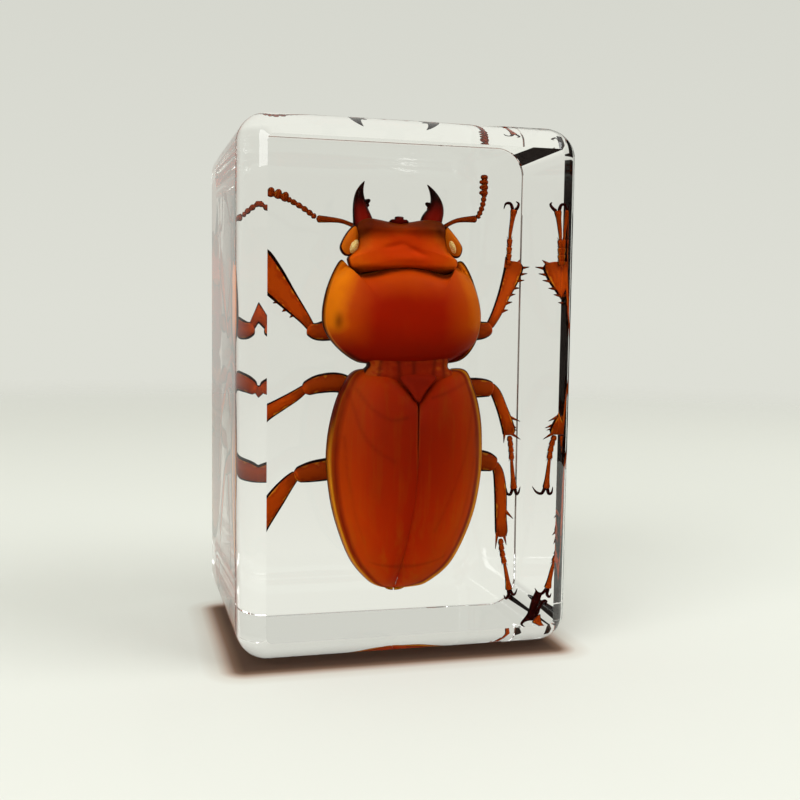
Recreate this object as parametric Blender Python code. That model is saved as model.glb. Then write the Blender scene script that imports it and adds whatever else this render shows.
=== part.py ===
"""A beetle specimen's clear resin block: one solid casting that stands upright on its short end.

The block is cast with its show face down. That face is a flat window with a crisp edge. A narrow
bevel runs round the window, and rolls over into the side walls with a wide round. The four long
edges that run from front to back are rounded too. The other face is the open side of the mould. It
is ground flat and polished, so its edge is only broken.

Frame: origin under the middle of the block, +Z up, show face towards -Y. Metres.
"""

import math

import bmesh
import bpy

HEIGHT = 0.060
WIDTH = 0.0390
DEPTH = 0.0320
CORNER_RADIUS = 0.0036
BEVEL_WIDTH = 0.0008
BEVEL_ANGLE = math.radians(36)
SHOW_EDGE_RADIUS = 0.0050
BACK_EDGE_BREAK = 0.00025

CORNER_SEGMENTS = 14
SHOW_EDGE_SEGMENTS = 9

RESIN_COLOUR = (0.93, 0.95, 0.92, 1.0)
RESIN_IOR = 1.52
RESIN_ROUGHNESS = 0.02


def clear_scene():
    for old in list(bpy.data.objects):
        bpy.data.objects.remove(old)


def resin_material():
    """Water-clear casting resin, polished."""
    material = bpy.data.materials.new("clear_casting_resin")
    material.use_nodes = True
    shader = material.node_tree.nodes["Principled BSDF"]
    shader.inputs["Base Color"].default_value = RESIN_COLOUR
    shader.inputs["Roughness"].default_value = RESIN_ROUGHNESS
    shader.inputs["Metallic"].default_value = 0.0
    shader.inputs["IOR"].default_value = RESIN_IOR
    shader.inputs["Transmission Weight"].default_value = 1.0
    return material


def round_edges(shape, edges, offset, segments):
    """Rolls the given edges over; the round starts this far from each edge, measured on its faces."""
    bmesh.ops.bevel(
        shape,
        geom=edges,
        offset=offset,
        offset_type="OFFSET",
        segments=segments,
        profile=0.5,
        affect="EDGES",
        clamp_overlap=False,
        material=-1,
    )


def edges_front_to_back(shape):
    """The four long edges that run along Y."""
    found = []
    for edge in shape.edges:
        along = edge.verts[1].co - edge.verts[0].co
        if abs(along.y) > 0.9 * along.length:
            found.append(edge)
    return found


def edges_at(shape, y):
    """The outline whose points all lie at this y, where the side walls begin."""
    found = []
    for edge in shape.edges:
        ends_here = all(math.isclose(vert.co.y, y, abs_tol=1e-7) for vert in edge.verts)
        on_wall = any(abs(face.normal.y) < 0.01 for face in edge.link_faces)
        if ends_here and on_wall:
            found.append(edge)
    return found


def raise_window(shape):
    """Insets the show face, then pushes the rim back, which leaves the window with its bevel."""
    rim_width = BEVEL_WIDTH + SHOW_EDGE_RADIUS * (1 - math.sin(BEVEL_ANGLE))
    rim_depth = rim_width * math.tan(BEVEL_ANGLE)
    show_face = [face for face in shape.faces if face.normal.y < -0.9]
    bmesh.ops.inset_region(shape, faces=show_face, thickness=rim_width, use_even_offset=True)
    window = {vert for face in show_face for vert in face.verts}
    outline = [vert for vert in shape.verts if vert.co.y < -DEPTH / 2 + 1e-7 and vert not in window]
    bmesh.ops.translate(shape, vec=(0.0, rim_depth, 0.0), verts=outline)
    shape.normal_update()
    return -DEPTH / 2 + rim_depth


def make_resin_block():
    shape = bmesh.new()
    bmesh.ops.create_cube(shape, size=1.0)
    bmesh.ops.scale(shape, vec=(WIDTH, DEPTH, HEIGHT), verts=shape.verts)
    bmesh.ops.translate(shape, vec=(0.0, 0.0, HEIGHT / 2), verts=shape.verts)
    round_edges(shape, edges_front_to_back(shape), CORNER_RADIUS, CORNER_SEGMENTS)
    shape.normal_update()
    rim = raise_window(shape)
    tangent_length = SHOW_EDGE_RADIUS * math.tan((math.pi / 2 - BEVEL_ANGLE) / 2)
    round_edges(shape, edges_at(shape, rim), tangent_length, SHOW_EDGE_SEGMENTS)
    shape.normal_update()
    round_edges(shape, edges_at(shape, DEPTH / 2), BACK_EDGE_BREAK, 1)
    bmesh.ops.recalc_face_normals(shape, faces=shape.faces)
    mesh = bpy.data.meshes.new("resin_block")
    shape.to_mesh(mesh)
    shape.free()
    mesh.shade_smooth()
    mesh.set_sharp_from_angle(angle=math.radians(15))
    mesh.materials.append(resin_material())
    block = bpy.data.objects.new("resin_block", mesh)
    bpy.context.scene.collection.objects.link(block)
    return block


clear_scene()
make_resin_block()
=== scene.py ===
"""A stag beetle cast in a clear resin block, as it stands on a table.

The sections follow the real work: the casting, then the beetle from its body outwards, then the
table and the light it stands in. Sizes are in millimetres unless a name says otherwise.
"""

import math

import bmesh
import bpy
from mathutils import Matrix, Vector


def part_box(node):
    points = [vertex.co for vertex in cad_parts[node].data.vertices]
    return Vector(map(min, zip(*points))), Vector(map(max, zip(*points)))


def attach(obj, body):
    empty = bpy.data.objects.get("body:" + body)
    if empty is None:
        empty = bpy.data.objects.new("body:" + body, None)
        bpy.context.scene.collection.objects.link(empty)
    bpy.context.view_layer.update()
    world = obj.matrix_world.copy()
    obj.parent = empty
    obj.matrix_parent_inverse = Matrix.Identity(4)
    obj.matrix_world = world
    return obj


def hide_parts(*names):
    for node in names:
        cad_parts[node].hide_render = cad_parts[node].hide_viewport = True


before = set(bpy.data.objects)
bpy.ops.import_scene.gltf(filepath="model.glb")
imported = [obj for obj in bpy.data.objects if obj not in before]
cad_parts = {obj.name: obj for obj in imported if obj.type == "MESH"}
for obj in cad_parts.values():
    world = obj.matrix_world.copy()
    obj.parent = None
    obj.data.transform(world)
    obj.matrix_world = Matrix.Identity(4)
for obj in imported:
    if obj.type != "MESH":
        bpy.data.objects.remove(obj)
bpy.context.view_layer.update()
scene = bpy.context.scene
MM = 0.001


# ------------------------------
# The casting. Clear casting resin, poured round the beetle in a mould with a flat window, then
# the open side is ground flat and all of it is polished. It replaces the plain solid, with the
# same sizes and finer rounds, because light bends in every facet of a coarse one.
low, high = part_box("resin_block")
block_width, block_depth, block_height = high - low
corner_radius = 3.6 * MM
bevel_width = 0.8 * MM
bevel_angle = math.radians(36)
show_edge_radius = 5.0 * MM
back_edge_break = 0.15 * MM
corner_segments, show_edge_segments, back_edge_segments = 24, 28, 3
polished_crease = 12
same_point = 1e-7


def hex_colour(code):
    """An sRGB hex colour as linear RGBA."""
    linear = []
    for start in (1, 3, 5):
        part = int(code[start : start + 2], 16) / 255
        linear.append(part / 12.92 if part <= 0.04045 else ((part + 0.055) / 1.055) ** 2.4)
    return (*linear, 1.0)


def add_node(tree, kind, settings=None, links=None):
    """Adds one node. Settings are its own values or its sockets' values; links feed its sockets."""
    node = tree.nodes.new("ShaderNode" + kind)
    for key, value in (settings or {}).items():
        if isinstance(key, str) and hasattr(node, key):
            setattr(node, key, value)
        else:
            node.inputs[key].default_value = value
    for key, source in (links or {}).items():
        tree.links.new(source, node.inputs[key])
    return node


def round_edges(shape, edges, offset, segments):
    bmesh.ops.bevel(
        shape,
        geom=edges,
        offset=offset,
        offset_type="OFFSET",
        segments=segments,
        profile=0.5,
        affect="EDGES",
        clamp_overlap=False,
        material=-1,
    )


def new_finish(name, roughness, ior, specular):
    """A material with its gloss set: the material, its node tree and its shader."""
    material = bpy.data.materials.new(name)
    material.use_nodes = True
    shader = material.node_tree.nodes["Principled BSDF"]
    shader.inputs["Roughness"].default_value = roughness
    shader.inputs["IOR"].default_value = ior
    shader.inputs["Specular IOR Level"].default_value = specular
    return material, material.node_tree, shader


def finished(name, shape, material, crease=180):
    """The object made of this shape, sharp where it turns by more than the crease, in degrees."""
    mesh = bpy.data.meshes.new(name)
    shape.to_mesh(mesh)
    shape.free()
    mesh.shade_smooth()
    mesh.set_sharp_from_angle(angle=math.radians(crease))
    mesh.materials.append(material)
    piece = bpy.data.objects.new(name, mesh)
    scene.collection.objects.link(piece)
    return piece


def outline_at(shape, y):
    """The edges of the outline at this depth, where the side walls begin."""
    found = []
    for edge in shape.edges:
        ends_here = all(math.isclose(vert.co.y, y, abs_tol=same_point) for vert in edge.verts)
        if ends_here and any(abs(face.normal.y) < 0.01 for face in edge.link_faces):
            found.append(edge)
    return found


casting = bmesh.new()
bmesh.ops.create_cube(casting, size=1.0)
bmesh.ops.scale(casting, vec=(block_width, block_depth, block_height), verts=casting.verts)
bmesh.ops.translate(casting, vec=(low + high) / 2, verts=casting.verts)
long_edges = []
for edge in casting.edges:
    if abs(edge.verts[0].co.y - edge.verts[1].co.y) > block_depth / 2:
        long_edges.append(edge)
round_edges(casting, long_edges, corner_radius, corner_segments)
casting.normal_update()
rim_width = bevel_width + show_edge_radius * (1 - math.sin(bevel_angle))
rim_depth = rim_width * math.tan(bevel_angle)
show_face = [face for face in casting.faces if face.normal.y < -0.9]
bmesh.ops.inset_region(casting, faces=show_face, thickness=rim_width, use_even_offset=True)
window = {vert for face in show_face for vert in face.verts}
outer = [vert for vert in casting.verts if vert.co.y < low.y + same_point and vert not in window]
bmesh.ops.translate(casting, vec=(0.0, rim_depth, 0.0), verts=outer)
casting.normal_update()
tangent = show_edge_radius * math.tan((math.pi / 2 - bevel_angle) / 2)
round_edges(casting, outline_at(casting, low.y + rim_depth), tangent, show_edge_segments)
casting.normal_update()
round_edges(casting, outline_at(casting, high.y), back_edge_break, back_edge_segments)
bmesh.ops.recalc_face_normals(casting, faces=casting.faces)

# Casting resin, polished. It is water clear, with a faint yellow-green cast that only shows where
# the eye looks through a long stretch of it.
resin, resin_tree, resin_shader = new_finish("clear_casting_resin_polished", 0.0, 1.52, 0.5)
resin_shader.inputs["Base Color"].default_value = hex_colour("#FFFFFF")
resin_shader.inputs["Transmission Weight"].default_value = 1.0
tint = add_node(resin_tree, "VolumeAbsorption", {"Color": hex_colour("#EEF2E4"), "Density": 2.2})
resin_tree.links.new(tint.outputs[0], resin_tree.nodes["Material Output"].inputs["Volume"])
resin_casting = finished("resin_casting", casting, resin, polished_crease)
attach(resin_casting, "root")
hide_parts("resin_block")


# ------------------------------
# The body under the wings: the abdomen and the rear of the chest, one hard shell of plates. The
# belly faces away from the window. Its plates overlap like roof tiles, and end in a rounded tip.
def along(points, share, closed=False):
    """The point at this share of a smooth curve through the points, each a tuple of numbers."""
    count = len(points)
    place = share * count if closed else min(max(share, 0.0), 1.0) * (count - 1)
    first = int(math.floor(place))
    if not closed:
        first = min(first, count - 2)
    t = place - first
    near = []
    for step in (-1, 0, 1, 2):
        at = first + step
        near.append(points[at % count] if closed else points[min(max(at, 0), count - 1)])
    found = []
    for a, b, c, d in zip(*near):
        bend = (2 * a - 5 * b + 4 * c - d) * t * t + (3 * b - a - 3 * c + d) * t * t * t
        found.append(0.5 * (2 * b + (c - a) * t + bend))
    return found


def smooth_step(low_end, high_end, value):
    """0 before the low end, 1 past the high end, and a smooth rise between them."""
    t = min(max((value - low_end) / (high_end - low_end), 0.0), 1.0)
    return t * t * (3 - 2 * t)


def ridge(offset, half_width):
    """The share of a rounded ridge or groove that is left this far from its middle line."""
    return math.exp(-((offset / half_width) ** 2))


def new_shape():
    """An empty mesh that keeps, for each point, how thin the cuticle is, raised in places by
    painted glow, and how dark it is drawn, partly its own dark parts and partly painted shade.
    """
    shape = bmesh.new()
    shape.verts.layers.float.new("thin")
    shape.verts.layers.float.new("dark")
    return shape


def thin_of(shape):
    """The layer that holds how thin the cuticle is, raised in places by painted glow: 0 is thick, 1
    is the outer rim, which gets a painted dark outline.
    """
    return shape.verts.layers.float["thin"]


def dark_of(shape):
    """The layer that holds how dark the cuticle is drawn: partly its own dark parts, partly painted
    shade.
    """
    return shape.verts.layers.float["dark"]


def ball(shape, around, rings):
    """A ball of radius 1, the first form of every closed piece of the beetle."""
    made = bmesh.ops.create_uvsphere(shape, u_segments=around, v_segments=rings, radius=1.0)
    return made["verts"]


def plate(
    shape, outline, rim_y, rise, sink, around=96, rings=28, fullness=1.0, relief=None, middle=None
):
    """A closed, domed plate with this outline of (x, z), swelling to -Y and +Y from its rim."""
    thin = thin_of(shape)
    made = ball(shape, around, rings)
    middle_x, middle_z = middle or (sum(values) / len(outline) for values in zip(*outline))
    for vert in made:
        spread = min(math.hypot(vert.co.x, vert.co.y), 1.0)
        edge = along(outline, (math.atan2(vert.co.y, vert.co.x) / math.tau) % 1.0, closed=True)
        x = middle_x + (edge[0] - middle_x) * spread
        z = middle_z + (edge[1] - middle_z) * spread
        swell = abs(vert.co.z) ** fullness
        y = rim_y - rise * swell if vert.co.z > 0 else rim_y + sink * swell
        if relief:
            y += relief(x, z, spread, vert.co.z > 0)
        vert.co = Vector((x, y, z)) * MM
        vert[thin] = spread
    return made


def rod(shape, stations, around=20, rings=26, cap=0.08):
    """A closed, rounded rod through stations of (x, y, z, half width, half thickness)."""
    thin = thin_of(shape)
    made = ball(shape, around, rings)
    for vert in made:
        share = math.acos(min(max(vert.co.z, -1.0), 1.0)) / math.pi
        turn = math.atan2(vert.co.y, vert.co.x)
        here = along(stations, share)
        way = Vector(along(stations, share + 0.02)[:3]) - Vector(along(stations, share - 0.02)[:3])
        side = way.cross(Vector((0.0, 1.0, 0.0))).normalized()
        front = side.cross(way).normalized()
        end = min(1.0, math.sin(math.pi * share) / math.sin(math.pi * cap)) ** 0.5
        off = side * math.cos(turn) * here[3] * end + front * math.sin(turn) * here[4] * end
        vert.co = (Vector(here[:3]) + off) * MM
        vert[thin] = abs(math.cos(turn))
    return made


def thorn(shape, root, tip, radius, segments=10):
    """A pointed spine from root to tip, dark at its point."""
    dark = dark_of(shape)
    root, tip = Vector(root), Vector(tip)
    way = tip - root
    turn = way.to_track_quat("Z", "Y").to_matrix().to_4x4()
    made = bmesh.ops.create_cone(
        shape,
        cap_ends=True,
        segments=segments,
        radius1=radius,
        radius2=radius * 0.12,
        depth=way.length,
        matrix=Matrix.Translation((root + tip) / 2) @ turn,
    )["verts"]
    for vert in made:
        reach = (vert.co - root).dot(way) / way.length_squared
        vert[dark] = 0.35 + 0.65 * reach
        vert.co *= MM


def seal_in(name, shape, material, crease=35, wall=0.0):
    """Makes the shape a named piece of the beetle. A sheet gets a wall, laid inwards from it."""
    bmesh.ops.remove_doubles(shape, verts=shape.verts, dist=same_point)
    bmesh.ops.recalc_face_normals(shape, faces=shape.faces)
    if wall and sum(face.normal.y for face in shape.faces) > 0:
        bmesh.ops.reverse_faces(shape, faces=shape.faces)
    piece = finished(name, shape, material, crease)
    if wall:
        thicker = piece.modifiers.new("wall", "SOLIDIFY")
        thicker.thickness = wall
        thicker.offset = -1.0
    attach(piece, "root")


cuticle_ior, cuticle_specular = 1.56, 0.02
pit_spacing, pit_depth = 0.14 * MM, 0.03 * MM
rim_blend = 0.03


def cuticle(name, colours, mottle, roughness, pits, rim_from=0.955, cloud_mm=3.0):
    """Beetle cuticle: mahogany where it is thick, amber where it is thin, with a painted dark
    outline.

    The colours are those of thick, middling and thin cuticle, and of the outline at the rim. The
    amber is partly the thin cuticle's own colour and partly painted glow, as if lit from behind;
    the dark outline along the outer rim is painted shade, where light bends away at the edge.
    """
    thick, middle, thin, rim = map(hex_colour, colours.split())
    material, tree, shader = new_finish(name, roughness, cuticle_ior, cuticle_specular)
    place = add_node(tree, "TexCoord").outputs["Object"]
    thinness = add_node(tree, "Attribute", {"attribute_name": "thin"}).outputs["Fac"]
    cloud = add_node(
        tree,
        "TexNoise",
        {"Scale": 1 / (cloud_mm * MM), "Detail": 5.0, "Roughness": 0.55},
        {"Vector": place},
    ).outputs["Fac"]
    cloud_shift = add_node(
        tree, "Math", {"operation": "MULTIPLY_ADD", 1: mottle, 2: -mottle / 2}, {0: cloud}
    ).outputs[0]
    shifted = add_node(
        tree, "Math", {"operation": "ADD"}, {0: thinness, 1: cloud_shift}
    ).outputs[0]
    ramp = add_node(tree, "ValToRGB", None, {"Fac": shifted})
    stops = ramp.color_ramp.elements
    stops[0].position, stops[0].color = 0.35, thick
    stops[1].position, stops[1].color = 0.72, middle
    stops.new(0.93).color = thin
    # Painted shade: a dark outline along the outer rim, where light bends away at the edge.
    edge = add_node(tree, "ValToRGB", None, {"Fac": thinness})
    edge.color_ramp.elements[0].position = rim_from
    edge.color_ramp.elements[1].position = min(rim_from + rim_blend, 1.0)
    rimmed = add_node(
        tree,
        "Mix",
        {"data_type": "RGBA", 7: rim},
        {0: edge.outputs["Color"], 6: ramp.outputs["Color"]},
    ).outputs[2]
    # The dark layer pulls the colour towards near black, partly for the cuticle's own dark parts
    # and partly as painted shade.
    darkness = add_node(tree, "Attribute", {"attribute_name": "dark"}).outputs["Fac"]
    coloured = add_node(
        tree, "Mix", {"data_type": "RGBA", 7: hex_colour("#1A0402")}, {0: darkness, 6: rimmed}
    ).outputs[2]
    tree.links.new(coloured, shader.inputs["Base Color"])
    pit = add_node(
        tree, "TexVoronoi", {"Scale": 1 / pit_spacing}, {"Vector": place}
    ).outputs["Distance"]
    bump = add_node(
        tree, "Bump", {"Strength": pits, "Distance": pit_depth}, {"Height": pit}
    ).outputs["Normal"]
    tree.links.new(bump, shader.inputs["Normal"])
    return material


belly_cuticle = cuticle(
    "belly_cuticle_finely_pitted", "#7E1E05 #9A3209 #C4661A #3A0C04", 0.35, 0.42, 0.5
)
belly_outline = [
    (1.9, 31.6), (7.4, 31.0), (10.6, 28.0), (10.9, 22.0), (10.2, 15.5), (7.9, 10.2), (4.2, 7.2),
    (0.8, 6.6), (-2.4, 7.6), (-5.4, 11.2), (-7.0, 16.5), (-7.4, 23.0), (-6.6, 28.6), (-3.6, 31.2),
]
plate_seams = (24.2, 20.4, 17.4, 14.4, 11.4)
belly_middle_x = 1.9
seam_width, seam_depth, seam_arch = 0.28, 0.30, 0.012
groove_width, groove_depth = 0.35, 0.25


def belly_relief(x, z, spread, on_back):
    """Steps between the belly plates, and the long groove down the middle of the chest."""
    if on_back:
        return 0.0
    step = 0.0
    for seam in plate_seams:
        arched = seam + seam_arch * (x - belly_middle_x) ** 2
        step -= seam_depth * ridge(z - arched, seam_width) * (1 - spread**6)
    groove = groove_depth * ridge(x - belly_middle_x, groove_width) * smooth_step(24.5, 26.0, z)
    return step - groove * (1 - spread**4)


abdomen = new_shape()
plate(abdomen, belly_outline, 2.0, 2.4, 3.7, around=96, rings=96, fullness=0.8, relief=belly_relief)
seal_in("abdomen_and_rear_chest", abdomen, belly_cuticle)


# ------------------------------
# The waist between the chest shield and the wing cases: soft brown skin over a narrow ring, with
# the small three-cornered plate that locks the wing cases together behind it.
waist_cuticle = cuticle(
    "waist_skin_folded", "#8A1E04 #962A08 #A8440E #2E0A04", 1.3, 0.5, 0.8, 0.94, 0.8
)
waist_outline = [
    (-3.0, 33.8), (1.7, 34.2), (6.5, 33.8), (6.8, 32.2), (7.6, 31.6), (8.4, 30.6), (4.5, 29.4),
    (2.3, 28.6), (0.2, 29.4), (-3.6, 30.8), (-3.6, 31.8), (-3.1, 32.4),
]
waist = new_shape()
waist_dark = dark_of(waist)
# Painted shade: the skin is drawn darker along each fold, where shade falls in the creases.
skin_folds = ((-1.9, 0.12), (0.4, -0.1), (2.2, 0.0), (4.7, 0.16), (6.0, -0.05))
fold_width, painted_fold_shade, waist_middle_z = 0.22, 0.5, 32
for vert in plate(waist, waist_outline, 1.6, 2.7, 2.9, around=112, rings=60, fullness=0.55):
    x, z = vert.co.x / MM, vert.co.z / MM
    folds = (ridge(x - at - lean * (z - waist_middle_z), fold_width) for at, lean in skin_folds)
    vert[waist_dark] = painted_fold_shade * max(folds)
seal_in("waist_ring", waist, waist_cuticle)
shield_outline = [
    (5.0, 30.9), (4.2, 31.4), (2.6, 31.6), (1.2, 31.4),
    (0.5, 30.9), (1.6, 29.4), (2.7, 28.1), (3.7, 29.4),
]
little_shield = new_shape()


def little_shield_relief(x, z, spread, on_back):
    """The little plate slopes down into the waist towards its front."""
    return 0.31 * (z - 29.8)


plate(little_shield, shield_outline, -1.35, 0.45, 0.6, 64, 20, relief=little_shield_relief)
little_shield_cuticle = cuticle(
    "little_shield_cuticle_smooth", "#7E1603 #861A04 #801703 #641203", 0.8, 0.35, 0.2, 0.95, 1.0
)
seal_in("scutellum", little_shield, little_shield_cuticle)


# ------------------------------
# The wing cases: two hard, curved shells that meet down the middle of the back. They are thin at
# the sides, which are painted warmer as if light came through them, and the folded wings show
# through as faint streaks.
wing_case_thickness = 0.32 * MM
seam_gap = 0.008
left_margin = [
    (-3.2, 32.0), (-6.1, 31.5), (-7.1, 29.2), (-7.75, 26.2), (-8.1, 22.8), (-7.95, 19.5),
    (-7.1, 14.6), (-5.2, 9.4), (-3.0, 6.55), (-1.3, 5.5), (0.45, 5.3),
]
right_margin = [
    (7.4, 32.0), (10.7, 31.9), (11.2, 29.4), (11.6, 26.6), (11.72, 23.4), (11.5, 18.6),
    (10.35, 13.4), (7.85, 8.3), (4.8, 5.8), (2.6, 5.3), (0.55, 5.3),
]
suture_line = [(2.75, 28.3), (2.45, 24.0), (2.4, 19.0), (2.05, 15.0), (1.55, 11.5), (0.5, 5.3)]
front_line = {
    -1: [(2.6, 28.2), (1.1, 30.1), (-0.5, 31.9), (-3.2, 32.0)],
    1: [(2.9, 28.2), (4.4, 29.9), (5.8, 31.5), (7.4, 32.0)],
}
folded_wing_veins = {
    -1: [
        [(-5.9, 30.2), (-5.0, 27.4), (-4.1, 24.6), (-2.6, 22.6), (-0.4, 21.2)],
        [(-4.6, 29.6), (-3.0, 27.4), (-0.8, 26.1), (1.2, 26.3)],
        [(-6.1, 24.0), (-5.6, 19.0), (-4.4, 13.5), (-2.8, 9.5)],
    ],
    1: [
        [(9.9, 29.6), (9.4, 25.6), (8.4, 21.0), (6.6, 16.4), (4.8, 12.6)],
        [(8.8, 30.4), (6.6, 29.4), (4.4, 28.6)],
        [(10.2, 24.4), (9.6, 18.6), (8.2, 13.4), (6.2, 9.2)],
    ],
}
vein_width, vein_shade, vein_steps = 0.22, 0.17, 40
margin_y = 2.1
ridge_y = [-0.6, -2.3, -3.1, -3.3, -3.2, -2.9, -2.3, -1.1, 1.6]
wing_cuticle, wing_tree, wing_shader = new_finish(
    "wing_case_cuticle_thin_amber", 0.38, cuticle_ior, cuticle_specular
)
# Thin amber cuticle, grown smooth with fine long streaks. It is painted warmer towards the sides,
# as if lit from behind, the seam down the middle is darker, and the outer lip is bright yellow,
# partly its own colour and partly painted glow, with a painted dark outline at its edge.
wing_place = add_node(wing_tree, "TexCoord").outputs["Object"]
across = add_node(wing_tree, "Attribute", {"attribute_name": "thin"}).outputs["Fac"]
shade = add_node(wing_tree, "Attribute", {"attribute_name": "dark"}).outputs["Fac"]
streak_width, streak_length = 0.9 * MM, 14 * MM
grain_size, grain_depth = 0.12 * MM, 0.02 * MM
stretched = add_node(
    wing_tree,
    "Mapping",
    {"Scale": (1 / streak_width, 1 / streak_width, 1 / streak_length), "Rotation": (0, 0.06, 0)},
    {"Vector": wing_place},
).outputs[0]
streaks = add_node(
    wing_tree, "TexNoise", {"Scale": 1.0, "Detail": 4.0, "Roughness": 0.6}, {"Vector": stretched}
).outputs["Fac"]
wing_ramp = add_node(wing_tree, "ValToRGB", None, {"Fac": across})
wing_stops = wing_ramp.color_ramp.elements
wing_stops[0].color = hex_colour("#5A1002")
wing_stops[1].position, wing_stops[1].color = 0.012, hex_colour("#B03A0A")
for position, colour in (
    (0.035, "#AE2202"),
    (0.30, "#BA2A02"),
    (0.62, "#C23404"),
    (0.86, "#C84406"),
    (0.915, "#8A2203"),
    (0.945, "#A43C05"),
    (0.968, "#F0A020"),
    (0.984, "#D87C14"),
    (1.0, "#2A0A03"),
):
    wing_stops.new(position).color = hex_colour(colour)
streak_mask = add_node(
    wing_tree,
    "MapRange",
    {"From Min": 0.48, "From Max": 0.75, "To Min": 0.0, "To Max": 0.38},
    {"Value": streaks},
).outputs[0]
streaked = add_node(
    wing_tree,
    "Mix",
    {"data_type": "RGBA", 7: hex_colour("#B8590A")},
    {0: streak_mask, 6: wing_ramp.outputs["Color"]},
).outputs[2]
# Painted shade: the dark layer darkens the case towards the shoulders and along the belly's edge
# under it, and also draws the folded wing veins.
shaded = add_node(
    wing_tree, "Mix", {"data_type": "RGBA", 7: hex_colour("#5A0F03")}, {0: shade, 6: streaked}
).outputs[2]
wing_tree.links.new(shaded, wing_shader.inputs["Base Color"])
fine_grain = add_node(
    wing_tree, "TexNoise", {"Scale": 1 / grain_size, "Detail": 2.0}, {"Vector": wing_place}
).outputs["Fac"]
grain_bump = add_node(
    wing_tree, "Bump", {"Strength": 0.25, "Distance": grain_depth}, {"Height": fine_grain}
).outputs["Normal"]
wing_tree.links.new(grain_bump, wing_shader.inputs["Normal"])


def wing_case(name, hand, margin):
    """One wing case, laid from the middle seam out to its margin, then given its thickness."""
    shape = new_shape()
    thin = thin_of(shape)
    dark = dark_of(shape)
    bmesh.ops.create_grid(shape, x_segments=56, y_segments=110, size=0.5)
    for vert in shape.verts:
        out = vert.co.x + 0.5
        down = vert.co.y + 0.5
        seam_x, seam_z = along(suture_line, down)
        edge_x, edge_z = along(margin, down)
        seam_x += hand * seam_gap
        x = seam_x + (edge_x - seam_x) * out
        z = seam_z + (edge_z - seam_z) * out
        front = along(front_line[hand], out)
        pull = (1 - down) ** 6
        x += (front[0] - x) * pull
        z += (front[1] - z) * pull
        (top_y,) = along([(y,) for y in ridge_y], down)
        dome = (1 - out**2.3) ** (1 / 1.6)
        lip = 0.25 * smooth_step(0.93, 0.97, out) * (1 - smooth_step(0.97, 1.0, out))
        # Painted light: the lower part of each case, more so the right one, is painted warmer, as
        # if more light fell there.
        painted_light_low = 0.16 * smooth_step(24.0, 10.0, z) * (1.0 if hand > 0 else 0.5)
        vert[thin] = max(out, min(out + painted_light_low, 0.84))
        # On the right case the band of yellow lip and painted dark outline is widened so that it
        # shows.
        if hand > 0:
            vert[thin] += 0.45 * (1 - out) * smooth_step(0.80, 0.93, out)
        # Painted shadow: a dark line where the belly's edge lies under the case.
        belly_edge = 8.3 + 0.035 * (x - 1.2) ** 2
        painted_belly_edge_shadow = 0.4 * ridge(z - belly_edge, 0.2) * smooth_step(0.9, 0.7, out)
        vein = 0.0
        for path in folded_wing_veins[hand]:
            shares = (step / vein_steps for step in range(vein_steps + 1))
            near = min(math.dist((x, z), along(path, share)) for share in shares)
            vein = max(vein, vein_shade * ridge(near, vein_width))
        # Painted shade: darker towards the shoulders, a little lighter towards the sides, and
        # darker on the lip near the shoulders.
        upper = 0.52 * smooth_step(8.0, 27.0, z) - 0.14 * smooth_step(0.4, 0.7, out)
        upper_lip_shade = 0.6 * smooth_step(21.0, 27.0, z) * smooth_step(0.94, 0.965, out)
        vert[dark] = painted_belly_edge_shadow + vein + upper + upper_lip_shade
        vert.co = Vector((x, margin_y + (top_y - margin_y) * dome - lip, z)) * MM
    seal_in(name, shape, wing_cuticle, crease=180, wall=wing_case_thickness)


wing_case("wing_case_left", -1, left_margin)
wing_case("wing_case_right", 1, right_margin)


# ------------------------------
# The chest shield: one broad, domed plate that wraps the front of the chest, above and below. Its
# sides are drawn out thin and painted amber, partly their own colour and partly painted glow as if
# lit from behind, and a fine raised bead runs round its edge.
chest_cuticle = cuticle(
    "chest_shield_cuticle_smooth", "#A01A01 #BE4404 #EA7C08 #2E0A03", 0.16, 0.36, 0.2, 0.962
)
chest_outline = [
    (11.05, 38.0), (10.75, 40.3), (9.85, 43.0), (8.85, 44.7), (8.15, 44.95), (7.65, 44.3),
    (7.1, 43.65), (6.1, 43.4), (3.9, 44.0), (1.7, 44.4), (-0.7, 44.1), (-3.0, 43.5),
    (-4.3, 43.3), (-5.1, 43.7), (-5.75, 44.4), (-6.4, 44.75), (-7.3, 43.3), (-8.15, 41.0),
    (-8.55, 38.6), (-8.3, 36.6), (-6.9, 34.6), (-4.8, 33.0), (-2.9, 32.55), (1.8, 32.5),
    (6.8, 32.6), (9.1, 33.3), (10.6, 35.4),
]
chest_rise = 4.9
top_x, top_z, side_reach, front_reach, rear_reach = 1.35, 38.2, 10.3, 7.8, 6.4
bead_height, bead_at, bead_width = 0.12, 0.955, 0.015


def chest_relief(x, z, spread, on_back):
    """One even dome over the whole shield, rolled over steeply at its margin, with a fine bead."""
    if not on_back:
        return 0.0
    up = (z - top_z) / (front_reach if z > top_z else rear_reach)
    over = min(((x - top_x) / side_reach) ** 2 + up**2, 1.0)
    dome = math.sqrt(1 - over**1.2) * math.sqrt(max(0.0, 1 - spread**12))
    bead = bead_height * ridge(spread - bead_at, bead_width)
    return chest_rise * ((1 - min(spread, 1.0) ** 2) ** 0.45 - dome) - bead


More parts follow.
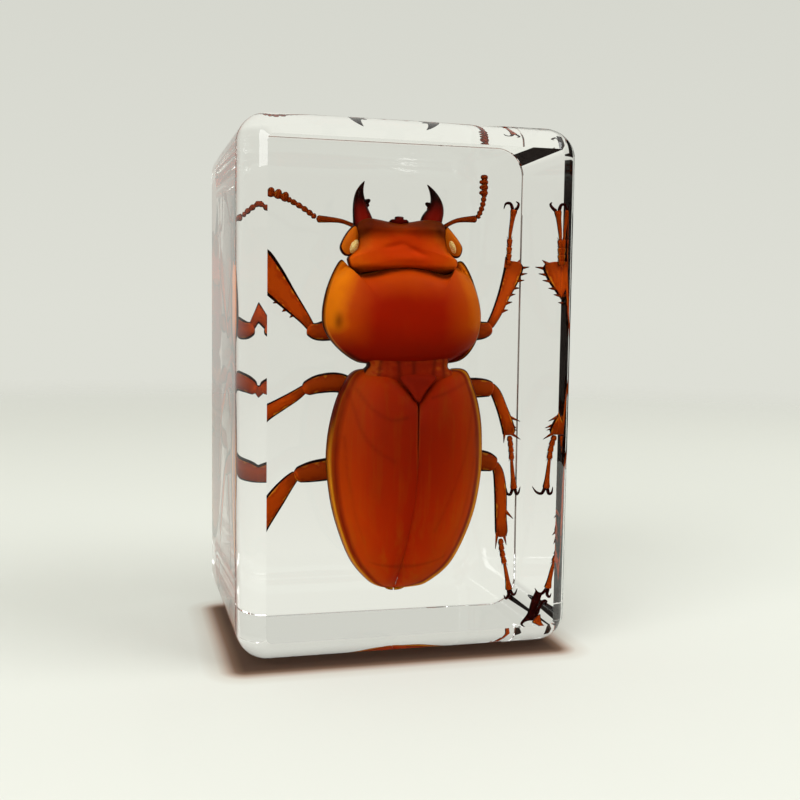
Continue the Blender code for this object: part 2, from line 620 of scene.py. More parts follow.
chest = new_shape()
chest_made = plate(
    chest, chest_outline, 1.9, chest_rise, 3.6, 192, 64, 0.9, chest_relief, middle=(1.3, 35.5)
)
chest_thin_and_glow = thin_of(chest)
chest_dark = dark_of(chest)
for vert in chest_made:
    x, z = vert.co.x / MM, vert.co.z / MM
    chest_spread = vert[chest_thin_and_glow]
    # A dark spot on the left side of the shield.
    dark_spot = 0.6 * ridge(x + 6.9, 0.45) * ridge(z - 37.6, 0.95)
    # Painted glow: the sides, and the front towards the head, are painted amber as if lit from
    # behind, in place of how thin the cuticle is.
    reach = 1.3 * smooth_step(39.0, 44.0, z)
    left_glow = smooth_step(-1.8 + reach, -8.0 + reach, x)
    right_glow = 0.85 * smooth_step(4.4 - reach, 10.6 - reach, x)
    glow = max(left_glow, right_glow) * smooth_step(33.6, 37.4, z)
    glow = max(glow, 0.55 * smooth_step(39.0, 43.6, z))
    if chest_spread < 0.965:
        vert[chest_thin_and_glow] = 0.34 + 0.6 * glow
    # Painted shade: dark lines along the front and rear margins, where the shield meets the head
    # and the waist, and darker towards the rear.
    front = smooth_step(41.6, 43.0, z) * smooth_step(7.2, 6.4, abs(x - 1.3))
    rear = 0.6 * smooth_step(34.6, 33.6, z)
    margin = 0.88 * smooth_step(0.88, 0.94, chest_spread) * max(front, rear)
    vert[chest_dark] = dark_spot + margin + 0.16 * smooth_step(37.5, 33.5, z)
seal_in("chest_shield", chest, chest_cuticle, crease=60)


# ------------------------------
# The head: a flat, hard capsule tucked under the chest shield, with a thin lobe over each eye.
head_cuticle = cuticle(
    "head_cuticle_wrinkled", "#CC3A03 #D24804 #D85C08 #340A03", 0.9, 0.4, 0.6, 0.965
)
head_outline = [
    (6.5, 46.3), (6.25, 47.6), (6.15, 48.8), (5.6, 49.5), (4.4, 49.75), (3.0, 49.6), (1.9, 49.4),
    (0.6, 49.3), (-0.8, 49.35), (-2.0, 49.55), (-3.4, 49.7), (-4.4, 49.35), (-4.75, 48.5),
    (-4.5, 47.4), (-4.65, 46.3), (-5.3, 45.4), (-5.65, 44.8), (-5.1, 43.6), (-3.5, 42.4),
    (1.6, 42.0), (5.6, 42.3), (7.4, 43.4), (7.8, 44.8), (7.2, 45.4),
]
head_middle_x = 0.9


def head_relief(x, z, spread, on_back):
    """A raised brow behind the jaws, a double dent behind it, and a neck that dips at the rear."""
    neck = 2.4 * smooth_step(44.3, 42.8, z)
    if not on_back:
        return neck
    brow = -0.45 * ridge(z - 48.5, 0.5) * smooth_step(1.0, 0.8, spread)
    left_dent = 0.26 * ridge(z - 46.4 - 0.2 * (x + 0.6), 0.35) * ridge(x + 0.2, 1.3)
    right_dent = 0.34 * ridge(z - 46.4 + 0.4 * (x - 1.2), 0.35) * ridge(x - 2.2, 1.2)
    bump = -0.3 * ridge(z - 45.0, 0.5) * ridge(x - 1.2, 2.5)
    return brow + left_dent + right_dent + bump + neck


head = new_shape()
head_made = plate(
    head, head_outline, 1.4, 2.5, 2.9, around=144, rings=72, fullness=0.6, relief=head_relief
)
head_dark = dark_of(head)
for vert in head_made:
    x, z = vert.co.x / MM, vert.co.z / MM
    aside = abs(x - head_middle_x)
    front_edge = 0.8 * smooth_step(47.0, 49.3, z + 0.12 * aside)
    sides = 0.55 * smooth_step(3.4, 5.8, aside) * smooth_step(45.2, 47.4, z)
    vert[head_dark] = min(front_edge + sides, 0.85)
seal_in("head_capsule", head, head_cuticle, crease=60)

# The eye lobes: thin amber plates at the sides of the head, each cut in half round an eye.
lobe_cuticle = cuticle(
    "eye_lobe_cuticle_thin", "#C25A08 #CC660C #D0660A #2E0A03", 0.8, 0.38, 0.3, 0.86, 1.0
)
lobe_outlines = {
    "left": [
        (-4.35, 47.2), (-4.3, 48.2), (-4.8, 48.9), (-5.6, 48.2), (-6.3, 47.1), (-6.6, 46.1),
        (-6.1, 45.3), (-5.3, 45.25), (-4.5, 46.0),
    ],
    "right": [
        (8.4, 46.4), (7.95, 47.3), (7.05, 48.4), (6.3, 49.05), (5.9, 48.4), (6.0, 47.2),
        (6.4, 46.1), (7.2, 45.35), (8.05, 45.4),
    ],
}
for side_name, lobe_outline in lobe_outlines.items():
    lobe = new_shape()
    plate(lobe, lobe_outline, 1.2, 1.1, 1.2, around=56, rings=20, fullness=0.8)
    seal_in("eye_lobe_" + side_name, lobe, lobe_cuticle)

# The upper lip: a small dark plate with a stepped front edge, between the jaws.
jaw_cuticle = cuticle(
    "jaw_cuticle_thick_dark", "#7A1206 #5E0C04 #2E0502 #0C0101", 0.4, 0.34, 0.2, 0.86
)
lip = new_shape()
lip_dark = dark_of(lip)
lip_outline = [
    (1.55, 49.2), (1.4, 49.6), (1.0, 49.65), (0.85, 49.95), (0.0, 49.95), (-0.15, 49.65),
    (-0.55, 49.6), (-0.75, 49.2), (0.4, 48.7),
]
plate(lip, lip_outline, 0.6, 0.9, 1.2, around=64, rings=16)
for vert in lip.verts:
    vert[lip_dark] = 0.45
seal_in("upper_lip", lip, jaw_cuticle)


# ------------------------------
# The jaws: a pair of short, thick hooks that swing in a socket at each front corner of the head.
# Each has a two-pointed tooth on its inner side, and goes nearly black towards the tip.
jaw_stations = {
    "left": [
        (-3.6, 1.5, 48.0, 1.3, 1.4), (-3.8, 1.6, 49.3, 1.2, 1.3), (-4.08, 1.8, 50.6, 0.95, 1.1),
        (-4.2, 2.0, 51.7, 0.72, 0.9), (-4.15, 2.2, 52.6, 0.5, 0.7), (-3.9, 2.4, 53.35, 0.28, 0.4),
        (-3.5, 2.6, 54.1, 0.04, 0.08),
    ],
    "right": [
        (4.4, 1.5, 48.2, 1.3, 1.4), (4.55, 1.6, 49.5, 1.35, 1.3), (5.1, 1.8, 50.7, 1.02, 1.1),
        (5.2, 2.0, 51.6, 0.8, 0.9), (5.05, 2.2, 52.4, 0.55, 0.7), (4.7, 2.4, 53.2, 0.3, 0.4),
        (4.15, 2.6, 54.0, 0.04, 0.08),
    ],
}
jaw_teeth = {
    "left": [
        [(-4.2, 1.9, 51.0, 0.6, 0.6), (-3.5, 2.0, 51.5, 0.42, 0.45), (-2.85, 2.1, 51.9, 0.14, 0.2)],
        [(-4.1, 1.9, 50.8, 0.5, 0.5), (-3.5, 2.0, 51.1, 0.34, 0.4), (-3.0, 2.1, 51.35, 0.16, 0.2)],
    ],
    "right": [
        [(5.2, 1.9, 50.9, 0.6, 0.6), (4.5, 2.0, 51.4, 0.42, 0.45), (3.85, 2.1, 51.75, 0.14, 0.2)],
        [(5.1, 1.9, 50.7, 0.5, 0.5), (4.5, 2.0, 51.0, 0.34, 0.4), (4.05, 2.1, 51.1, 0.16, 0.2)],
    ],
}
for side_name, stations in jaw_stations.items():
    jaw = new_shape()
    dark_layer = dark_of(jaw)
    for vert in rod(jaw, stations, around=28, rings=40, cap=0.05):
        vert[dark_layer] = smooth_step(49.8, 52.4, vert.co.z / MM)
    for tooth in jaw_teeth[side_name]:
        for vert in rod(jaw, tooth, around=18, rings=16, cap=0.12):
            vert[dark_layer] = smooth_step(50.4, 51.6, vert.co.z / MM)
    seal_in("jaw_" + side_name, jaw, jaw_cuticle)


# ------------------------------
# The eyes: pale, finely faceted domes, half covered by the lobes at the sides of the head.
eye_cornea, eye_tree, eye_shader = new_finish("eye_cornea_faceted", 0.3, cuticle_ior, 0.05)
# Pale horn-coloured cornea. The facets are drawn coarser than the real 0.03 mm so that they show.
eye_place = add_node(eye_tree, "TexCoord").outputs["Object"]
facet_size = 0.16 * MM
facets = add_node(
    eye_tree, "TexVoronoi", {"Scale": 1 / facet_size}, {"Vector": eye_place}
).outputs["Distance"]
eye_ramp = add_node(eye_tree, "ValToRGB", None, {"Fac": facets})
eye_ramp.color_ramp.elements[0].color = hex_colour("#FFF6B8")
eye_ramp.color_ramp.elements[1].position = 0.8
eye_ramp.color_ramp.elements[1].color = hex_colour("#D8A030")
eye_tree.links.new(eye_ramp.outputs["Color"], eye_shader.inputs["Base Color"])
eye_depth, eye_half_height, eye_y = 1.3, 0.92, 0.9
for side_name, eye_x, eye_z, half_width, turn in (
    ("left", -5.0, 46.35, 0.55, 0.4),
    ("right", 7.0, 46.6, 0.40, -0.4),
):
    eye = new_shape()
    made = ball(eye, around=32, rings=20)
    bmesh.ops.scale(eye, vec=(half_width, eye_depth, eye_half_height), verts=made)
    bmesh.ops.rotate(eye, cent=(0, 0, 0), matrix=Matrix.Rotation(turn, 3, "Y"), verts=made)
    bmesh.ops.translate(eye, vec=(eye_x, eye_y, eye_z), verts=made)
    bmesh.ops.scale(eye, vec=(MM, MM, MM), verts=made)
    seal_in("eye_" + side_name, eye, eye_cornea)


# ------------------------------
# The feelers: a long first joint, a bend, a string of small joints, and a club of four leaves.
limb_cuticle = cuticle(
    "limb_cuticle_amber", "#D25008 #BC4006 #EC8A1E #1A0502", 1.5, 0.4, 0.3, 0.78, 0.9
)
feelers = {
    "left": (
        [(-4.6, 2.6, 48.75), (-6.4, 2.8, 49.35), (-9.2, 3.0, 49.5)],
        [(-9.2, 3.0, 49.6), (-10.8, 3.1, 50.75), (-12.6, 3.2, 51.7)],
        [(-12.6, 3.2, 51.7), (-14.1, 3.3, 52.2), (-15.7, 3.4, 52.35)],
        (0.3, 0.0, 1.0),
    ),
    "right": (
        [(6.2, 2.6, 48.95), (8.0, 2.8, 49.85), (10.6, 3.0, 50.15)],
        [(10.6, 3.0, 50.2), (11.25, 3.1, 51.6), (11.5, 3.2, 53.2)],
        [(11.5, 3.2, 53.1), (11.55, 3.3, 54.3), (11.5, 3.4, 55.4)],
        (-1.0, 0.0, 0.0),
    ),
}
scape_sizes = (0.26, 0.27, 0.46)
funicle_joints, club_leaves = 6, 4
feeler_shade = 0.6
for side_name, (scape, funicle, club, leaf_way) in feelers.items():
    feeler = new_shape()
    feeler_dark = dark_of(feeler)
    rod(feeler, [(*p, r, r) for p, r in zip(scape, scape_sizes)], around=16, rings=24)
    for joint in range(funicle_joints):
        start = Vector(along(funicle, max(joint - 0.15, 0.0) / funicle_joints))
        stop = Vector(along(funicle, (joint + 1.15) / funicle_joints))
        bead = [(*start, 0.14, 0.14), (*start.lerp(stop, 0.6), 0.36, 0.3), (*stop, 0.16, 0.16)]
        rod(feeler, bead, around=14, rings=14, cap=0.1)
    for leaf in range(club_leaves):
        root = Vector(along(club, (leaf + 0.5) / club_leaves))
        tip = root + Vector(leaf_way) * (0.7 if leaf < club_leaves - 1 else 0.5)
        back = root - Vector(leaf_way) * 0.45
        spread = Vector(along(club, 1.0)) - Vector(along(club, 0.0))
        half = spread.length / club_leaves * 0.56
        leaf_rod = [(*back, half * 0.8, 0.34), (*root, half, 0.4), (*tip, half * 0.8, 0.3)]
        rod(feeler, leaf_rod, around=16, rings=12, cap=0.25)
    rod(feeler, [(*p, 0.34, 0.3) for p in club], around=14, rings=16)
    for vert in feeler.verts:
        vert[feeler_dark] = feeler_shade
    seal_in("feeler_" + side_name, feeler, limb_cuticle)


# ------------------------------
# The mouth seen from below: the chin plate, and a pair of jointed palps on each side of it.
chin = new_shape()
chin_outline = [
    (4.2, 46.2), (4.0, 48.2), (2.6, 49.2), (0.0, 49.1), (-1.4, 48.0), (-1.6, 46.0), (1.3, 45.3),
]
plate(chin, chin_outline, 3.6, 0.6, 0.9, around=48, rings=20)
seal_in("chin_plate", chin, belly_cuticle)
palp_paths = {
    "palp_outer_left": [(-1.4, 4.0, 46.4), (-2.6, 4.6, 48.0), (-2.3, 4.6, 49.2)],
    "palp_inner_left": [(0.4, 4.3, 47.0), (-0.2, 4.8, 48.4), (0.1, 4.8, 49.2)],
    "palp_inner_right": [(2.2, 4.3, 47.0), (2.9, 4.8, 48.4), (2.5, 4.8, 49.2)],
    "palp_outer_right": [(4.0, 4.0, 46.6), (5.0, 4.6, 48.0), (4.8, 4.6, 49.2)],
}
palp_joints = 3
for palp_name, path in palp_paths.items():
    palp = new_shape()
    for joint in range(palp_joints):
        start = along(path, joint / palp_joints)
        middle = along(path, (joint + 0.6) / palp_joints)
        stop = along(path, (joint + 0.96) / palp_joints)
        rod(palp, [(*start, 0.14, 0.14), (*middle, 0.26, 0.24), (*stop, 0.2, 0.2)], 12, 10, 0.2)
    seal_in(palp_name, palp, limb_cuticle)


# ------------------------------
# The legs: six, each with a hip, a thigh, a shin with thorns, a foot of five joints and a pair of
# claws. The front shins are digging blades with a row of teeth along the outer edge.
legs = {
    "front_right": {
        "hip": [(4.2, 5, 37.2, 1.3, 1), (7.4, 5.2, 37, 1.5, 1.1)],
        "thigh": [
            (7, 5.4, 37, 0.9, 0.8), (9.6, 5.4, 36.7, 1.3, 1),
            (12, 5.8, 36.6, 1.15, 0.9), (13.4, 6.4, 37, 0.75, 0.7),
        ],
        "shin": [
            (13.1, 6.4, 36.9, 0.5, 0.5), (14.2, 7, 38.6, 0.66, 0.5), (15.4, 7.9, 41, 0.85, 0.5),
            (16.5, 8.7, 43.4, 1.2, 0.45), (17, 9, 44.9, 1.25, 0.4), (17.1, 9.1, 45.3, 0.6, 0.3),
        ],
        "teeth": [
            ((14.8, 7.2, 39), (15.9, 7.4, 39.2)), ((15.3, 7.5, 40), (16.5, 7.7, 40.2)),
            ((15.7, 7.9, 41), (17, 8.1, 41.2)), ((16.2, 8.2, 41.9), (17.6, 8.4, 42)),
            ((16.6, 8.5, 42.8), (18.3, 8.7, 43)), ((17, 8.8, 43.6), (18.75, 9, 43.85)),
            ((17.2, 9, 44.4), (19.1, 9.4, 44.7)), ((17.4, 9, 44.9), (18, 10.2, 45.6)),
            ((15.9, 8.8, 44.6), (15.7, 8.6, 45.9)),
        ],
        "foot": [(16.1, 8.6, 44.9), (16.15, 8.6, 46.5), (16.25, 8.6, 48.9), (16.65, 8.5, 51.8)],
        "claws": [
            [(16.5, 8.5, 51.7), (16.2, 8.6, 52.5), (15.6, 8.7, 52.5), (15.35, 8.8, 51.8)],
            [(16.8, 8.5, 51.7), (17.2, 8.8, 52.1), (17.4, 9.2, 52.6), (17.1, 9.5, 52.9)],
        ],
    },
    "middle_right": {
        "hip": [(4.6, 5.2, 27.6, 1.5, 1), (7.4, 5.6, 28.4, 1.6, 1)],
        "thigh": [
            (7, 5.2, 28.8, 0.9, 0.8), (9.8, 5.2, 29.4, 1.25, 0.95),
            (12.2, 5.4, 29.45, 1.2, 0.9), (13.7, 5.8, 29.2, 0.9, 0.7),
        ],
        "shin": [
            (13.3, 5.8, 29.8, 0.5, 0.45), (14.2, 6.1, 28.7, 0.7, 0.5), (15.2, 6.7, 26.7, 0.75, 0.5),
            (16.1, 7.3, 24.6, 0.88, 0.5), (16.4, 7.6, 23.6, 0.85, 0.45),
            (16.45, 7.6, 23.3, 0.4, 0.3),
        ],
        "teeth": [
            ((16.2, 7.2, 25.7), (17.65, 6.6, 25.1)), ((16.6, 7.5, 24.2), (17.55, 7.8, 23.85)),
            ((16.6, 7.6, 23.6), (18, 7.7, 22.7)), ((15.8, 7.5, 23.9), (15.7, 7.5, 22.3)),
            ((16.7, 7.4, 24.6), (17.6, 8.4, 24.1)),
        ],
        "foot": [(16.5, 7.8, 23.2), (16.85, 8.2, 21.6), (17.05, 8.3, 19.4), (17.35, 8.2, 16.3)],
        "claws": [
            [(17.2, 8.2, 16.4), (16.95, 8.4, 15.6), (16.55, 8.5, 15.7), (16.4, 8.6, 16.5)],
            [(17.5, 8.2, 16.4), (17.8, 8.6, 15.6), (18.3, 9.4, 15.7), (18.7, 10.1, 16.4)],
        ],
    },
    "hind_right": {
        "hip": [(3.4, 5.2, 23.6, 1.2, 0.9), (7.6, 5.6, 22.4, 1.5, 1)],
        "thigh": [
            (7.2, 5.2, 21.6, 0.9, 0.8), (10, 5.3, 20.6, 1.35, 1),
            (12.8, 5.5, 20.2, 1.3, 0.9), (14.3, 5.8, 19.6, 0.85, 0.7),
        ],
        "shin": [
            (14, 5.8, 20, 0.5, 0.45), (14.7, 6, 18.6, 0.72, 0.5),
            (15.1, 6.3, 16, 0.85, 0.5),
            (15.3, 6.8, 13, 0.82, 0.5), (15.55, 7.3, 10.9, 0.85, 0.45),
            (15.6, 7.4, 10.2, 0.5, 0.3),
        ],
        "teeth": [
            ((15.9, 6.5, 13.6), (16.8, 6, 12.7)), ((16, 7.2, 11), (16.45, 8, 10.2)),
            ((15.9, 7.4, 10.6), (16.35, 7.7, 9.1)), ((15, 7.2, 10.9), (14.75, 7.2, 8.7)),
        ],
        "foot": [(15.5, 7.5, 10), (15.8, 7.8, 8.2), (16.35, 8, 6), (16.9, 8.1, 3.2)],
        "claws": [
            [(16.8, 8.1, 3.2), (16.9, 8.3, 2.4), (16.55, 8.4, 2), (16.3, 8.5, 2.5)],
            [(17, 8.1, 3.2), (17.5, 8.4, 2.5), (17.95, 8.9, 2.5), (18.3, 9.2, 3.1)],
        ],
    },
    "front_left": {
        "hip": [(-1, 5, 37.2, 1.3, 1), (-4.6, 5.2, 37, 1.5, 1.1)],
        "thigh": [
            (-4.2, 5.4, 37, 0.9, 0.8), (-6.6, 5.4, 36.6, 1.3, 1),
            (-8.6, 5.6, 36.3, 1.1, 0.9), (-9.8, 5.9, 36.7, 0.7, 0.7),
        ],
        "shin": [
            (-9.2, 5.9, 36.5, 0.5, 0.5), (-10.2, 6.1, 37.9, 0.75, 0.5),
            (-12.2, 6.4, 40.2, 1.3, 0.5),
            (-14.2, 6.8, 42.6, 1.85, 0.45), (-15.9, 7.1, 44.6, 2, 0.4),
            (-16.5, 7.2, 45.3, 0.9, 0.3),
        ],
        "teeth": [
            ((-11.3, 6.3, 38.4), (-11.9, 6.3, 37.9)), ((-12.2, 6.4, 39), (-12.8, 6.4, 38.6)),
            ((-13, 6.5, 39.9), (-13.9, 6.5, 39.6)), ((-14, 6.6, 40.9), (-15.1, 6.6, 40.7)),
            ((-15.4, 6.8, 42.2), (-16.5, 6.9, 42.2)), ((-16.4, 7, 43.4), (-17.9, 7.1, 43.6)),
            ((-17, 7.1, 44.6), (-18.6, 7.2, 45.2)), ((-16.2, 7.1, 45.2), (-16.9, 7.2, 46.6)),
            ((-14.9, 7, 45), (-15.1, 6.9, 46.4)),
        ],
        "foot": [(-15.8, 7.2, 45.2), (-16.1, 7.4, 46.8), (-16.5, 7.6, 49), (-17, 7.7, 51.8)],
        "claws": [
            [(-16.9, 7.7, 51.7), (-16.6, 7.8, 52.5), (-16, 7.9, 52.5), (-15.8, 8, 51.8)],
            [(-17.1, 7.7, 51.7), (-17.5, 7.9, 52.4), (-18.1, 8, 52.3), (-18.2, 8.1, 51.6)],
        ],
    },
    "middle_left": {
        "hip": [(-0.8, 5.2, 27.6, 1.5, 1), (-3.6, 5.6, 28.4, 1.6, 1)],
        "thigh": [
            (-3.2, 5.2, 28.8, 0.9, 0.8), (-5.8, 5.2, 30.1, 1.2, 0.95),
            (-8.4, 5.4, 30, 1.15, 0.9), (-10.4, 5.7, 29.2, 0.8, 0.7),
        ],
        "shin": [
            (-9.9, 5.7, 29.6, 0.5, 0.45), (-11.2, 5.9, 28.6, 0.68, 0.5),
            (-13, 6.2, 27.5, 0.8, 0.5),
            (-14.8, 6.6, 26.4, 0.95, 0.5), (-16.1, 6.9, 25.2, 1, 0.45),
            (-16.4, 7, 24.8, 0.5, 0.3),
        ],
        "teeth": [
            ((-15.4, 6.6, 26.6), (-16.9, 6.4, 26.6)), ((-16.2, 6.9, 25.6), (-17.8, 7, 25.2)),
            ((-16.2, 6.9, 25), (-17.3, 7.1, 24)), ((-15.4, 6.9, 25), (-15.5, 6.8, 23.4)),
        ],
        "foot": [(-16.2, 7, 24.6), (-16.6, 7.3, 23), (-17, 7.6, 20.8), (-17.5, 7.7, 17.9)],
        "claws": [
            [(-17.4, 7.7, 17.9), (-17.1, 7.9, 17.2), (-16.7, 8, 17.2), (-16.5, 8, 17.9)],
            [(-17.6, 7.7, 17.9), (-17.9, 7.9, 17.2), (-18.3, 8.1, 17.3), (-18.5, 8.2, 18)],
        ],
    },
    "hind_left": {
        "hip": [(0.4, 5.2, 23.6, 1.2, 0.9), (-3.8, 5.6, 22.4, 1.5, 1)],
        "thigh": [
            (-3.4, 5.2, 21.2, 0.9, 0.8), (-6.4, 5.3, 19.9, 1.35, 1),
            (-9.2, 5.5, 19.4, 1.3, 0.9), (-11.4, 5.8, 18.9, 0.85, 0.7),
        ],
        "shin": [
            (-10.9, 5.8, 19.2, 0.55, 0.45), (-12, 6, 18.1, 0.85, 0.5),
            (-13.5, 6.3, 16.1, 1.15, 0.5), (-15, 6.7, 13.6, 1.15, 0.5),
            (-16.2, 7.1, 11.4, 1.1, 0.45), (-16.5, 7.2, 10.9, 0.5, 0.3),
        ],
        "teeth": [
            ((-15.6, 6.6, 13.4), (-16.9, 6.3, 13)), ((-16.5, 7, 11.7), (-17.8, 7.3, 11.1)),
            ((-16.3, 7.1, 11.2), (-17.2, 7.3, 9.9)), ((-15.6, 7.1, 11.4), (-15.5, 7, 9.6)),
        ],
        "foot": [(-16.3, 7.2, 10.8), (-16.6, 7.5, 9), (-17, 7.7, 6.8), (-17.5, 7.8, 3.9)],
        "claws": [
            [(-17.4, 7.8, 3.9), (-17.1, 8, 3.2), (-16.7, 8.1, 3.2), (-16.5, 8.1, 3.9)],
            [(-17.6, 7.8, 3.9), (-17.9, 8, 3.2), (-18.3, 8.2, 3.3), (-18.5, 8.3, 4)],
        ],
    },
}
short_joints, short_share = 4, 0.56
foot_end = ((short_share, 0.18), (0.68, 0.24), (0.85, 0.32), (0.96, 0.46), (1.0, 0.36))
claw_sizes = (0.24, 0.2, 0.15, 0.04)
limb_rim_from = 0.78
thigh_shade, foot_shade, claw_shade = 0.45, 0.3, 0.9
for leg_name, leg in legs.items():
    hip = new_shape()
    rod(hip, leg["hip"], around=24, rings=24, cap=0.3)
    seal_in("hip_" + leg_name, hip, belly_cuticle)
    thigh = new_shape()
    thigh_thin = thin_of(thigh)
    thigh_dark = dark_of(thigh)
    knee = Vector(leg["thigh"][-1][:3]) * MM
    for vert in rod(thigh, leg["thigh"], around=28, rings=36, cap=0.12):
        near_knee = smooth_step(1.3, 0.5, (vert.co - knee).length / MM)
        vert[thigh_dark] = thigh_shade * (1 - near_knee)
        if vert[thigh_thin] < limb_rim_from:
            vert[thigh_thin] += (limb_rim_from - 0.01 - vert[thigh_thin]) * near_knee
    seal_in("thigh_" + leg_name, thigh, limb_cuticle)
    shin = new_shape()
    shin_dark = dark_of(shin)
    ankle = Vector(leg["shin"][-1][:3]) * MM
    for vert in rod(shin, leg["shin"], around=28, rings=48, cap=0.06):
        near_ankle = smooth_step(2.6, 0.6, (vert.co - ankle).length / MM)
        near_knee = smooth_step(2.0, 0.6, (vert.co - knee).length / MM)
        vert[shin_dark] = 0.08 + 0.34 * max(near_ankle, near_knee)
    tooth_size = 0.36 if leg_name.startswith("front") else 0.26
    for root, tip in leg["teeth"]:
        thorn(shin, root, tip, tooth_size)
    seal_in("shin_" + leg_name, shin, limb_cuticle)
    foot = new_shape()
    for joint in range(short_joints):
        start = Vector(along(leg["foot"], short_share * joint / short_joints))
        stop = Vector(along(leg["foot"], short_share * (joint + 1.1) / short_joints))
        bead = [(*start, 0.24, 0.22), (*start.lerp(stop, 0.55), 0.36, 0.32), (*stop, 0.4, 0.34)]
        rod(foot, bead, around=16, rings=12, cap=0.18)
        for hand in (-1, 1):
            prick = stop + (stop - start) * 0.25 + Vector((hand * 0.42, 0.1, 0.0))
            thorn(foot, start.lerp(stop, 0.75), prick, 0.1, segments=6)
    last = [(*along(leg["foot"], share), half, half * 0.9) for share, half in foot_end]
    rod(foot, last, around=18, rings=24, cap=0.08)
    foot_dark = dark_of(foot)
    for vert in foot.verts:
        vert[foot_dark] = max(vert[foot_dark], foot_shade)
    seal_in("foot_" + leg_name, foot, limb_cuticle)
    claws = new_shape()
    claw_dark = dark_of(claws)
    for path in leg["claws"]:
        stations = [(*p, r, r) for p, r in zip(path, claw_sizes)]
        for vert in rod(claws, stations, around=12, rings=20):
            vert[claw_dark] = claw_shade
    seal_in("claws_" + leg_name, claws, jaw_cuticle)


# ------------------------------
# The table and the light. A pale table top runs out softly into a pale background behind the block.
# The room in front is dim and warm, so that nothing pale is mirrored in the window, and two large
# soft boxes above the camera light the beetle. Black cards, out of sight, give the clear right-hand
# edge its dark line and keep haze off the window, as they do for glass. All sizes here are metres.
table_gap = 0.0003
table_radius = 0.6
fade_from, fade_to = 0.20, 0.50
foot_half_size, foot_shift, contact_shadow_width = (0.0178, 0.0125, 0.0), (0.0008, 0.0022, 0.0), 0.0048
background_colour = hex_colour("#DADBD2")
table = bmesh.new()
bmesh.ops.create_circle(table, cap_ends=True, segments=96, radius=table_radius)
bmesh.ops.translate(table, vec=(0.0, 0.0, -table_gap), verts=table.verts)
paper, paper_tree, paper_shader = new_finish("matt_paper", 0.9, 1.5, 0.1)
# Plain matt paper, with a painted brown contact shadow close round the foot of the block.
paper_place = add_node(paper_tree, "TexCoord").outputs["Object"]
from_foot = paper_place
for operation, amount in (
    ("ADD", foot_shift),
    ("ABSOLUTE", (0.0, 0.0, 0.0)),
    ("SUBTRACT", foot_half_size),
    ("MAXIMUM", (0.0, 0.0, 0.0)),
):
    from_foot = add_node(
        paper_tree, "VectorMath", {"operation": operation, 1: amount}, {0: from_foot}
    ).outputs["Vector"]
foot_distance = add_node(
    paper_tree, "VectorMath", {"operation": "LENGTH"}, {0: from_foot}
).outputs["Value"]
contact_shadow_share = add_node(
    paper_tree, "MapRange", {"From Max": contact_shadow_width}, {"Value": foot_distance}
).outputs[0]
painted_contact_shadow = add_node(paper_tree, "ValToRGB", None, {"Fac": contact_shadow_share})
contact_shadow_stops = painted_contact_shadow.color_ramp.elements
contact_shadow_stops[0].color = hex_colour("#3A2A20")
contact_shadow_stops[1].color = hex_colour("#D1D4CD")
for position, colour in ((0.25, "#6E5848"), (0.42, "#A8998C"), (0.62, "#C6C5BC")):
    contact_shadow_stops.new(position).color = hex_colour(colour)
paper_tree.links.new(painted_contact_shadow.outputs["Color"], paper_shader.inputs["Base Color"])
# The paper's far part turns clear little by little, so that no edge of it is seen.
distance = add_node(
    paper_tree, "VectorMath", {"operation": "LENGTH"}, {0: paper_place}
).outputs["Value"]
fade = add_node(
    paper_tree,
    "MapRange",
    {
        "interpolation_type": "SMOOTHSTEP",
        "From Min": fade_from,
        "From Max": fade_to,
        "To Min": 1.0,
        "To Max": 0.0,
    },
    {"Value": distance},
).outputs[0]
paper_tree.links.new(fade, paper_shader.inputs["Alpha"])
table_top = finished("table_top", table, paper)
table_top.visible_transmission = False

world = bpy.data.worlds.new("pale_background_dim_room")
world.use_nodes = True
world_tree = world.node_tree
direction = add_node(world_tree, "TexCoord").outputs["Generated"]
way = add_node(world_tree, "SeparateXYZ", None, {0: direction})
from_front = add_node(world_tree, "ValToRGB", None, {"Fac": way.outputs["Y"]})
room_stops = from_front.color_ramp.elements
room_stops[0].color = hex_colour("#A4948A")
room_stops[1].position, room_stops[1].color = 0.55, background_colour
# The light from all round fades a little upwards. Below the table it is as bright as the table.
upward, below = (
    add_node(
        world_tree,
        "MapRange",
        {"From Min": start, "From Max": stop, "To Min": first, "To Max": last},
        {"Value": way.outputs["Z"]},
    ).outputs[0]
    for start, stop, first, last in ((0.0, 0.35, 1.04, 0.94), (-0.22, -0.08, 0.18, 0.0))
)
brightness = add_node(
    world_tree, "Math", {"operation": "ADD"}, {0: upward, 1: below}
).outputs[0]
ceiling = add_node(
    world_tree,
    "MapRange",
    {"interpolation_type": "SMOOTHSTEP", "From Min": 0.5, "From Max": 0.8},
    {"Value": way.outputs["Z"]},
).outputs[0]
# The camera itself sees the same pale background all round.
in_view = add_node(world_tree, "LightPath").outputs["Is Camera Ray"]
seen = add_node(
    world_tree,
    "Mix",
    {"data_type": "RGBA", 7: background_colour},
    {0: in_view, 6: from_front.outputs["Color"]},
).outputs[2]
surround = add_node(
    world_tree, "Mix", {"data_type": "RGBA", 7: hex_colour("#F4F4EE")}, {0: ceiling, 6: seen}
).outputs[2]
background = world_tree.nodes["Background"]
world_tree.links.new(surround, background.inputs["Color"])
world_tree.links.new(brightness, background.inputs["Strength"])
scene.world = world


def soft_lamp(name, place, size, power):
    """A square soft box that faces the middle of the block."""
    lamp = bpy.data.lights.new(name, "AREA")
    lamp.shape = "SQUARE"
    lamp.size = size
    lamp.energy = power
    holder = bpy.data.objects.new(name, lamp)
    holder.location = place
    aim = Vector((0.0, 0.0, block_height / 2)) - Vector(place)
    holder.rotation_euler = aim.to_track_quat("-Z", "Y").to_euler()
    scene.collection.objects.link(holder)


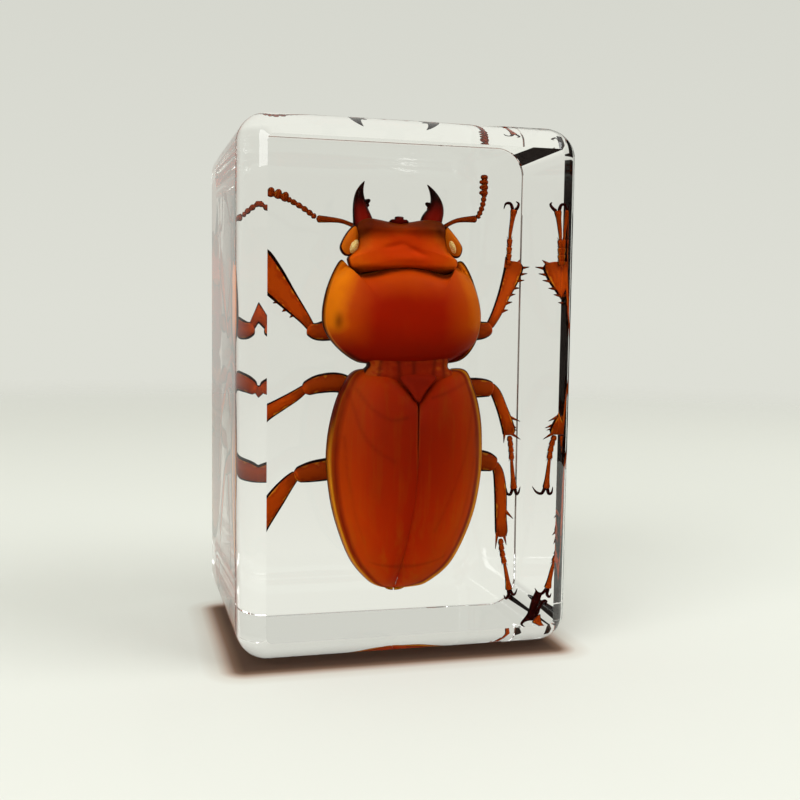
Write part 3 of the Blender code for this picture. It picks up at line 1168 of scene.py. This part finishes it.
soft_lamp("soft_box_left", (-0.42, -0.42, 0.40), 0.55, 4.0)
soft_lamp("soft_box_right", (0.42, -0.25, 0.50), 0.45, 2.6)


deep_black, matt_black = hex_colour("#020202"), hex_colour("#050505")


def card(name, corners, colour, seen_by):
    """A flat card that the camera can't see: it only shows through the resin, or mirrored in it."""
    shape = bmesh.new()
    shape.faces.new([shape.verts.new(corner) for corner in corners])
    finish, _, finish_shader = new_finish(name + "_matt", 0.9, 1.5, 0.0)
    finish_shader.inputs["Base Color"].default_value = colour
    piece = finished(name, shape, finish)
    piece.visible_camera = False
    piece.visible_diffuse = False
    piece.visible_shadow = False
    piece.visible_transmission = seen_by == "through"
    piece.visible_glossy = seen_by == "mirrored"


def round_about(degrees, distance):
    """The (x, y) this far from the block, at this many degrees right of straight behind it."""
    angle = math.radians(degrees)
    return distance * math.sin(angle), distance * math.cos(angle)


behind = 0.216
on_table = 0.0002
upright_cards = {
    "black_card_behind": (
        (-0.055, behind), (0.0085, behind), -0.07, 0.085, deep_black, "through",
    ),
    "black_card_behind_left": (
        (-0.34, behind), (-0.08, behind), -0.07, 0.07, deep_black, "through",
    ),
    "black_card_at_right": (
        round_about(26, 0.2), round_about(104, 0.2), on_table, 0.2, deep_black, "mirrored",
    ),
    "black_card_in_front": (
        round_about(190, 0.13), round_about(118, 0.13), on_table, 0.2, matt_black, "mirrored",
    ),
}
for card_name, (left, right, bottom, top, colour, seen_by) in upright_cards.items():
    corners = [(*left, bottom), (*right, bottom), (*right, top), (*left, top)]
    card(card_name, corners, colour, seen_by)
flat_corners = ((-0.03, -0.13), (0.13, -0.13), (0.13, -0.022), (-0.03, -0.022))
lying = [(*corner, on_table / 2) for corner in flat_corners]
card("black_card_on_table", lying, matt_black, "mirrored")

# The camera stands a little left of the block and just under its top, looking slightly down.
yaw, pitch, roll = math.radians(15.123), math.radians(-4.696), math.radians(0.788)
ahead = Vector((math.sin(yaw) * math.cos(pitch), math.cos(yaw) * math.cos(pitch), math.sin(pitch)))
level = Vector((math.cos(yaw), -math.sin(yaw), 0.0))
upright = level.cross(ahead)
camera_right = level * math.cos(roll) + upright * math.sin(roll)
camera_up = upright * math.cos(roll) - level * math.sin(roll)
camera_data = bpy.data.cameras.new("camera")
camera_data.sensor_width, camera_data.lens = 36.0, 48.294
camera_data.clip_start = 0.001
camera = bpy.data.objects.new("camera", camera_data)
scene.collection.objects.link(camera)
standing = Matrix((camera_right, camera_up, -ahead)).transposed().to_4x4()
standing.translation = Vector((-0.032551, -0.128834, 0.038774))
camera.matrix_world = standing
scene.camera = camera
scene.view_settings.view_transform = "Standard"
# Light needs many turns to find its way out of the block's rounds.
scene.cycles.max_bounces = scene.cycles.transmission_bounces = 24
scene.cycles.glossy_bounces = 12
